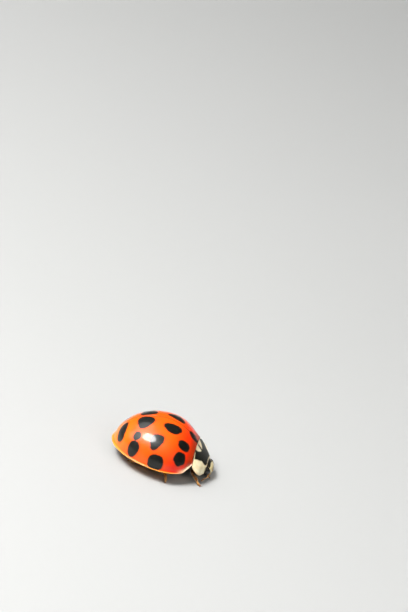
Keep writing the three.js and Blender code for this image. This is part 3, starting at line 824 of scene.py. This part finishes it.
def limb(path, wide, deep, side_way, sides=18, steps=34, blunt=1.0):
    """Rings round a smooth path: half-sizes wide (towards side_way) and deep, each given at the
    path's points, closing to rounded ends."""
    fine = smooth_path(abreast(*np.transpose(path), wide, deep), 400)
    length = np.concatenate([[0], np.cumsum(np.linalg.norm(np.diff(fine[:, :3], axis=0), axis=1))])
    stops = (1 - np.cos(np.linspace(0, np.pi, steps))) / 2 * length[-1]
    x, y, z, wide, deep = (np.interp(stops, length, fine[:, k]) for k in range(5))
    cap = blunt * np.where(stops < length[-1] / 2, wide[0], wide[-1])
    near_end = np.clip(np.minimum(stops, length[-1] - stops) / np.maximum(cap, 1e-6), 0.0, 1)
    round_off = np.maximum(np.sqrt(1 - (1 - near_end) ** 2), 0.06)[:, None, None]
    middle = abreast(x, y, z)
    run = unit(np.gradient(middle, axis=0))
    side_way = np.asarray(side_way, float)
    first = unit(side_way - run * (run @ side_way)[:, None])
    second = np.cross(run, first)
    turn = np.linspace(0, 2 * np.pi, sides, endpoint=False)[None, :, None]
    widthwise = wide[:, None, None] * np.cos(turn) * first[:, None]
    return middle[:, None] + (widthwise + deep[:, None, None] * np.sin(turn) * second[:, None]) * round_off


across = np.linspace(-1, 1, LIP.sides)
lip_rings = []
for k in np.linspace(0, 1, LIP.rows):
    half = LIP.half * (1 - LIP.narrowing * k ** 3)
    z = LIP.top_z - LIP.drop * k * (1 - LIP.notch * (1 - np.abs(across)) ** 0.5)
    x = LIP.x + LIP.forward * (np.sin(k * np.pi / 2) - k) - LIP.bow * across ** 2
    thick = LIP.thick * math.sqrt(max(1 - abs(2 * k - 1) ** 4, 0.02))
    front_face = abreast(x + thick / 2, across * half, z)
    lip_rings.append(np.concatenate([front_face, (front_face - (thick, 0, 0))[::-1]]))
lip_rings = np.array(lip_rings)
mouth_parts = [lip_rings, limb(CHIN_PATH, CHIN_WIDE, CHIN_WIDE * CHIN_DEEP, (0, 1, 0), steps=20)]
one_side = [limb(JAW_PATH, JAW_WIDE, JAW_WIDE * JAW_DEEP, (0, 0, 1), steps=26),
            limb(LIP_PALP_PATH, LIP_PALP_WIDE, LIP_PALP_DEEP, (0, 1, 0), 10, 12)]
mouth_parts += one_side + [(body * (1, -1, 1))[:, ::-1] for body in one_side]
amber_finish, tree, shader = finish("amber_chitin", roughness=0.36, coat=0.3, coat_roughness=0.18,
                                    specular=0.4)
amber = mottled(tree, 9.0, (0.34, 0.15, 0.04), (0.5, 0.26, 0.08))
tipped = mix(tree, ramp(tree, along(tree, "Z"), 0.1, 0.06), amber, (0.05, 0.014, 0.006))
dress(tree, shader, tipped, 22.0, 0.34, 0.004)
fit(loft("mouthparts", *mouth_parts), amber_finish)

# ----- Feelers and palps -----
# Each feeler has eleven joints, the last three a flat club, and reaches forward and out beside
# the face; each palp has four, the last one broad like a hatchet blade.
FEELER_PATH = ((1.19, 0.46, 0.42), (1.25, 0.66, 0.4), (1.2, 0.98, 0.34), (1.04, 1.22, 0.27),
               (0.88, 1.38, 0.15))
FEELER_JOINTS = (0.17, 0.11, 0.11, 0.075, 0.075, 0.07, 0.065, 0.06, 0.09, 0.095, 0.08)
FEELER_SIZES = (0.052, 0.042, 0.03, 0.028, 0.028, 0.029, 0.031, 0.036, 0.062, 0.078, 0.066)
PALP_PATH = ((1.1, 0.28, 0.2), (1.18, 0.4, 0.16), (1.28, 0.5, 0.15), (1.39, 0.6, 0.13))
PALP_JOINTS, PALP_SIZES = (0.16, 0.24, 0.2, 0.4), (0.034, 0.043, 0.043, 0.078)
FLAT_FROM = {"feeler": 8, "palp": 3}  # the first joint of the club, and the palp's last one
ROUND_JOINT, ROUND_BLUNT = np.array((0.55, 0.72, 0.88, 0.98, 1.0, 0.97, 0.9)), 0.6
HATCHET_JOINT, HATCHET_BLUNT = np.array((0.5, 0.66, 0.82, 0.95, 1.05, 1.1, 1.04)), 0.5
HATCHET_SLANT, JOINT_OVERLAP = 0.35, 0.12


def jointed(path, shares, sizes, flatness, side_way, flat_from, hatchet=False):
    """One rounded body for each joint along a path; a joint widens toward its far end, and the
    last one of a hatchet palp broadens to a slanted cutting edge."""
    fine = smooth_path(path, 600)
    length = np.concatenate([[0], np.cumsum(np.linalg.norm(np.diff(fine, axis=0), axis=1))])
    ends = np.concatenate([[0], np.cumsum(shares)]) / sum(shares) * length[-1]
    bodies = []
    for k, size in enumerate(sizes):
        start = max(ends[k] - JOINT_OVERLAP * (ends[k + 1] - ends[k]), 0)
        stops = np.linspace(start, ends[k + 1], len(ROUND_JOINT))
        points = abreast(*(np.interp(stops, length, coordinate) for coordinate in fine.T))
        blade = hatchet and k == len(sizes) - 1
        wide = (HATCHET_JOINT if blade else ROUND_JOINT) * size
        deep = wide * (flatness if k >= flat_from else 1.0)
        body = limb(points, wide, deep, side_way, 14, 20, blunt=HATCHET_BLUNT if blade else ROUND_BLUNT)
        if blade:
            slant = HATCHET_SLANT * ((body - points[-1]) @ unit(np.array(side_way)))
            slant *= np.linspace(0, 1, len(body))[:, None] ** 1.5
            body = body + slant[..., None] * unit(points[-1] - points[0])
        bodies.append(body)
    return bodies


def mirrored(bodies, sign):
    """The same bodies on the right side for sign -1."""
    return [rings * (1, sign, 1) for rings in bodies]


feeler_finish, tree, shader = finish("feeler_chitin", roughness=0.4, coat=0.25, coat_roughness=0.2,
                                     specular=0.4)
tawny = mottled(tree, 6.0, (0.46, 0.2, 0.05), (0.6, 0.3, 0.09))
clubbed = mix(tree, ramp(tree, off_middle(tree), 1.12, 1.3), tawny, (0.16, 0.055, 0.018))
dress(tree, shader, clubbed, 24.0, 0.34, 0.004)
feeler = jointed(FEELER_PATH, FEELER_JOINTS, FEELER_SIZES, 0.6, (0, 0, 1), FLAT_FROM["feeler"])
palp = jointed(PALP_PATH, PALP_JOINTS, PALP_SIZES, 0.4, (-0.3, 0.3, 1.0), FLAT_FROM["palp"], hatchet=True)
for side, sign in SIDES.items():
    for name, bodies, stands_for in (("feeler", feeler, "antenna"), ("jaw_palp", palp, "palp")):
        piece = loft(f"{name}_{side}", *mirrored(bodies, sign), flip=sign < 0)
        fit(piece, feeler_finish, f"{stands_for}_{side}")

# ----- Legs -----
# Six short walking legs held in under the shell: hip, a small ring joint, a flattened thigh, a
# slender spurred shin, and a foot of padded joints ending in two toothed claws. Orange-brown
# chitin, darker at the thighs.

# Each left leg's hip, ring, knee, ankle and toe, how thick it is, and how many spurs it has.
LEGS = {
    "front": (((0.22, 0.3, 0.58), (0.21, 0.74, 0.47), (0.2, 1.44, 0.5), (0.66, 1.74, 0.25),
               (0.88, 1.89, 0.06)), 0.92, 0),
    "middle": (((-0.82, 0.44, 0.58), (-1.06, 0.94, 0.46), (-1.8, 1.92, 0.5), (-1.36, 2.43, 0.25),
                (-1.31, 2.76, 0.06)), 1.12, 2),
    "hind": (((-2.08, 0.26, 0.6), (-2.26, 0.9, 0.46), (-3.04, 1.74, 0.5), (-3.66, 1.55, 0.25),
              (-4.04, 1.33, 0.06)), 1.0, 2),
}
# Half-sizes along each part, across it and deep.
HIP_AT, HIP_WIDE, HIP_DEEP = (0, 0.35, 0.7, 0.95), (0.13, 0.2, 0.19, 0.11), (0.09, 0.13, 0.13, 0.1)
THIGH_WIDE, THIGH_DEEP = np.array(((0.1, 0.165, 0.175, 0.15, 0.1), (0.09, 0.12, 0.13, 0.11, 0.085)))
SHIN_WIDE, SHIN_DEEP = np.array(((0.07, 0.075, 0.082, 0.092, 0.085), (0.075, 0.085, 0.095, 0.1, 0.085)))
PAD_WIDE, PAD_DEEP = (0.045, 0.055, 0.07, 0.09, 0.085), (0.045, 0.05, 0.05, 0.045, 0.035)
LOBE_WIDE, LOBE_DEEP = (0.04, 0.05, 0.06, 0.06, 0.045), (0.03, 0.035, 0.035, 0.03, 0.02)
LAST_WIDE, LAST_DEEP = (0.024, 0.026, 0.03, 0.038, 0.042), (0.024, 0.026, 0.03, 0.036, 0.036)
HIDDEN_WIDE, HIDDEN_DEEP = (0.035, 0.045, 0.04), (0.04, 0.045, 0.04)
SPUR = Sizes(above=0.05, apart=0.05, length=0.11, splay=0.03, drop=0.06, taper=(0.02, 0.015, 0.004))
# Where each part of the foot starts and ends, as shares of the way from the ankle to the toe.
FOOT = Sizes(pad=(-0.06, 0.34), hidden=(0.48, 0.28), lobe=(0.3, 0.62), last_from=0.4,
             lobes_apart=0.065, sag=-0.02, arch=0.035)
CLAW = Sizes(length=0.17, sunk=0.03, spread=0.5, apart=0.012, lift=0.018, sag=0.4, bends=(0.35, 0.72, 0.92),
             taper=(0.024, 0.022, 0.014, 0.003), tip_z=0.006)
# A claw's tooth: where it stands, and how far ahead of that and below it it reaches, twice.
TOOTH = Sizes(at=0.2, ahead=(0.03, 0.045), below=(0.027, 0.048), taper=(0.018, 0.015, 0.004))
EVEN, ENDS_AND_MIDDLE = np.linspace(0, 1, 5), (0, 0.5, 1)
UP = np.array((0, 0, 1.0))
SOLE = -0.02 * UP


def between(first, last, shares=EVEN, rise=0.0):
    """Points at shares of the way between two, raised off the straight line in the middle."""
    shares = np.asarray(shares, float)[:, None]
    return first * (1 - shares) + last * shares + 4 * shares * (1 - shares) * rise * UP


def spur(knee, ankle, toe, side_way, lobe):
    """One of the two short spines at the end of a shin."""
    root = ankle - unit(ankle - knee) * SPUR.above + side_way * lobe * SPUR.apart
    tip = root + unit(toe - ankle) * SPUR.length + side_way * lobe * SPUR.splay - SPUR.drop * UP
    return limb(between(root, tip, ENDS_AND_MIDDLE), SPUR.taper, SPUR.taper, side_way, 8, 10)


def foot_bodies(ankle, toe, side_way):
    """The first padded joint, the small hidden one, the two lobes round it and the clawed one."""
    run = toe - ankle
    pad, hidden, lobe_ends = (ankle + np.outer(ends, run) for ends in (FOOT.pad, FOOT.hidden, FOOT.lobe))
    bodies = [limb(between(*pad, rise=FOOT.sag), PAD_WIDE, PAD_DEEP, side_way, 16, 24),
              limb(between(*hidden, ENDS_AND_MIDDLE), HIDDEN_WIDE, HIDDEN_DEEP, side_way, 14, 16)]
    for lobe in (-1, 1):
        lobe_end = lobe_ends[1] + side_way * lobe * FOOT.lobes_apart + SOLE * 2
        lobe_path = between(lobe_ends[0] + SOLE, lobe_end)
        bodies.append(limb(lobe_path, LOBE_WIDE, LOBE_DEEP, side_way, 14, 22))
    last = between(ankle + run * FOOT.last_from, toe, rise=FOOT.arch)
    return bodies + [limb(last, LAST_WIDE, LAST_DEEP, side_way, 12, 26)]


def claw_bodies(run, toe, side_way):
    """The two hooked claws, each with a tooth near its root."""
    bodies = []
    for lobe in (-1, 1):
        ahead = unit(unit(run * (1, 1, 0)) + side_way * lobe * CLAW.spread)
        root = toe + side_way * lobe * CLAW.apart
        reach = ahead * CLAW.length
        rises = (CLAW.lift, -CLAW.lift * CLAW.sag, -(toe[2] - CLAW.tip_z))
        hook = [root - ahead * CLAW.sunk,
                *(root + reach * at + rise * UP for at, rise in zip(CLAW.bends, rises))]
        bodies.append(limb(hook, CLAW.taper, CLAW.taper, side_way, 10, 18))
        foot_of_tooth = root + reach * TOOTH.at
        tooth = [foot_of_tooth, *(foot_of_tooth + ahead * far - below * UP
                                  for far, below in zip(TOOTH.ahead, TOOTH.below))]
        bodies.append(limb(tooth, TOOTH.taper, TOOTH.taper, side_way, 8, 10))
    return bodies


def leg_bodies(joints, thick, spurs):
    """The rings of each part of one left leg."""
    hip, ring, knee, ankle, toe = np.array(joints)
    thigh_run, shin_run, foot_run = knee - ring, ankle - knee, toe - ankle
    thigh_side, shin_side, foot_side = (unit(np.cross(UP, run)) for run in (thigh_run, shin_run, foot_run))
    hip_joint = between(ring - thigh_run * 0.12, ring + thigh_run * 0.16)
    thigh = between(ring + thigh_run * 0.02, knee, rise=0.02)
    shin = between(knee - shin_run * 0.04, ankle, rise=0.03)
    return {
        "hip": [limb(between(hip, ring, HIP_AT), HIP_WIDE, HIP_DEEP, (1, 0, 0)),
                limb(hip_joint, 0.11, 0.1, thigh_side, 16, 20)],
        "thigh": [limb(thigh, THIGH_WIDE * thick, THIGH_DEEP * thick, thigh_side, 22, 44)],
        "shin": [limb(shin, SHIN_WIDE * thick, SHIN_DEEP * thick, shin_side, 18, 40),
                 *(spur(knee, ankle, toe, shin_side, lobe) for lobe in (1, -1)[:spurs])],
        "foot": foot_bodies(ankle, toe, foot_side),
        "claws": claw_bodies(foot_run, toe, foot_side),
    }


def leg_finish(name, first, second, pits_per_mm):
    """One of the leg's chitins, mottled between two colours."""
    material, tree, shader = finish(name, roughness=0.38, coat=0.3, coat_roughness=0.16, specular=0.4)
    dress(tree, shader, mottled(tree, 3.5, first, second), pits_per_mm, 0.34, 0.006)
    return material


LEG_FINISHES = {
    "hip": leg_finish("hip_chitin", (0.045, 0.016, 0.007), (0.12, 0.042, 0.012), 16.0),
    "thigh": leg_finish("thigh_chitin", (0.13, 0.04, 0.009), (0.28, 0.092, 0.018), 14.0),
    "shin": leg_finish("shin_chitin", (0.2, 0.06, 0.01), (0.36, 0.125, 0.022), 18.0),
    "foot": leg_finish("foot_chitin", (0.48, 0.21, 0.052), (0.66, 0.36, 0.11), 22.0),
    "claws": leg_finish("claw_chitin", (0.2, 0.07, 0.02), (0.34, 0.14, 0.04), 24.0),
}
LEG_NODES = {"hip": "coxa", "thigh": "femur", "shin": "tibia", "foot": "tarsus"}
legs = {key: leg_bodies(*leg) for key, leg in LEGS.items()}
for side, sign in SIDES.items():
    for key, parts in legs.items():
        for part, bodies in parts.items():
            piece = loft(f"{key}_{part}_{side}", *mirrored(bodies, sign), flip=sign < 0)
            stands_for = f"{LEG_NODES[part]}_{key}_{side}" if part in LEG_NODES else None
            fit(piece, LEG_FINISHES[part], stands_for)

# ----- Bristles -----
# Short stiff hairs that grow from the chitin: sparse on the face, feelers, belly and shins, and
# packed into soft pads under the feet. Each is a thin bent three-sided spike.
BRISTLE = Sizes(root=0.0042, waist=0.7, shortest=0.7, longest=1.2, stray=0.16, sunk=0.006, arch=0.05,
                droop=0.06, patch=0.0015, tiles=16)


def roots_on(rings, count, seed, keep=None):
    """Places spread evenly over a lofted surface: points, outward normals, ways along it and places
    on its flat unwrap. keep(points, normals) gives each cell's share."""
    rng = np.random.default_rng(seed)
    next_column = np.roll(rings, -1, 1)
    corners = rings[:-1], next_column[:-1], rings[1:], next_column[1:]
    along = (corners[2] + corners[3] - corners[0] - corners[1]) / 2
    across = (corners[1] + corners[3] - corners[0] - corners[2]) / 2
    middle = sum(corners) / 4
    normal = np.cross(across, along)
    area = np.linalg.norm(normal, axis=-1)
    outward = middle - rings[:-1].mean(1, keepdims=True)
    normal = unit(normal * np.sign((normal * outward).sum(-1, keepdims=True)))
    weight = area * (keep(middle, normal) if keep else 1.0)
    picked = rng.choice(weight.size, count, p=weight.ravel() / weight.sum())
    row, column = np.divmod(picked, rings.shape[1])
    f, g = rng.random((2, count, 1))
    a, b, c, d = (corner[row, column] for corner in corners)
    point = (a * (1 - g) + b * g) * (1 - f) + (c * (1 - g) + d * g) * f
    flat = abreast((row + f[:, 0]) / rings.shape[0], (column + g[:, 0]) / rings.shape[1])
    return point, normal[row, column], unit(along[row, column]), flat


def bristles(name, growths):
    """One mesh of hairs. Each growth is (roots_on(...), length, how upright, its tile on the unwrap)."""
    rng = np.random.default_rng(len(name))
    points, places = [], []
    for (root, normal, along, flat), length, upright, tile in growths:
        count = len(root)
        reach = length * rng.uniform(BRISTLE.shortest, BRISTLE.longest, (count, 1))
        stray = rng.normal(0, BRISTLE.stray, (count, 3))
        way = unit(normal * upright + along * (1 - upright) + stray)
        side = unit(np.cross(way, normal + (0.01, 0.02, 0)))
        other = np.cross(way, side)
        root = root - normal * BRISTLE.sunk
        waist = root + (way / 2 + normal * BRISTLE.arch) * reach
        tip = root + (way - normal * BRISTLE.droop) * reach
        spot = (flat + (tile, 0)) * (1 / BRISTLE.tiles, 1)
        rows, spots = [], []
        for centre, size in ((root, 1.0), (waist, BRISTLE.waist)):
            for turn in np.radians((0, 120, 240)):
                rows.append(centre + BRISTLE.root * size * (side * math.cos(turn) + other * math.sin(turn)))
                spots.append(spot + BRISTLE.patch * size * np.array((math.cos(turn), math.sin(turn))))
        points.append(np.stack(rows + [tip], 1).reshape(-1, 3))
        places.append(np.stack(spots + [spot], 1).reshape(-1, 2))
    points, places = np.concatenate(points), np.concatenate(places)
    first = np.arange(0, len(points), 7)[:, None]
    quads, tips = [], []
    for k, n in ((0, 1), (1, 2), (2, 0)):
        quads += (first + [k, n, 3 + n, 3 + k]).tolist()
        tips += (first + [3 + k, 3 + n, 6]).tolist()
    made = link_mesh(name, points, quads + tips)
    corner_points = np.zeros(len(made.data.loops), np.int32)
    made.data.loops.foreach_get("vertex_index", corner_points)
    made.data.uv_layers.new(name="OFBake").data.foreach_set("uv", places[corner_points].ravel())
    made.data.materials.append(bristle_finish)
    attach(made, "root")


bristle_finish, tree, shader = finish("bristles", roughness=0.45, specular=0.4)
hair_colour = mottled(tree, 8.0, (0.5, 0.32, 0.13), (0.72, 0.55, 0.3))
tree.links.new(hair_colour, shader.inputs["Base Color"])


# Where hairs grow: mostly on what faces down, only there, or on the face's open front.
def underneath(points, normals):
    return np.clip(-normals[..., 2], 0, 1) + 0.02


def low_side(points, normals):
    return (normals[..., 2] < -0.2) * 1.0


def open_face(points, normals):
    return (normals[..., 0] > 0.2) * (points[..., 2] < 0.95) * 1.0


FOOT_HAIRS = (300, 60, 210, 210, 70)  # on each body of a foot, in the order of foot_bodies
for side, sign in SIDES.items():
    for order, (key, parts) in enumerate(legs.items()):
        thigh, shin = mirrored([parts["thigh"][0], parts["shin"][0]], sign)
        growths = [(roots_on(thigh, 110, order), 0.06, 0.35, 0),
                   (roots_on(shin, 330, 10 + order), 0.085, 0.4, 1)]
        for tile, (body, count) in enumerate(zip(mirrored(parts["foot"], sign), FOOT_HAIRS)):
            growths.append((roots_on(body, count, 20 + order + tile, underneath), 0.05, 0.6, 2 + tile))
        bristles(f"leg_bristles_{key}_{side}", growths)
    growths = []
    for k, joint in enumerate(mirrored(feeler, sign)):
        count, length = (70, 0.035) if k >= FLAT_FROM["feeler"] else (16, 0.045)
        growths.append((roots_on(joint, count, 40 + k), length, 0.4, k))
    bristles(f"feeler_bristles_{side}", growths)
bristles("belly_bristles", [(roots_on(belly_rings, 1500, 61, low_side), 0.085, 0.25, 0)])
bristles("breast_bristles", [(roots_on(breast_rings, 1100, 62, low_side), 0.075, 0.3, 0)])
bristles("face_bristles", [(roots_on(head_rings, 260, 63, open_face), 0.05, 0.45, 0),
                           (roots_on(lip_rings, 60, 64, open_face), 0.07, 0.5, 1)])
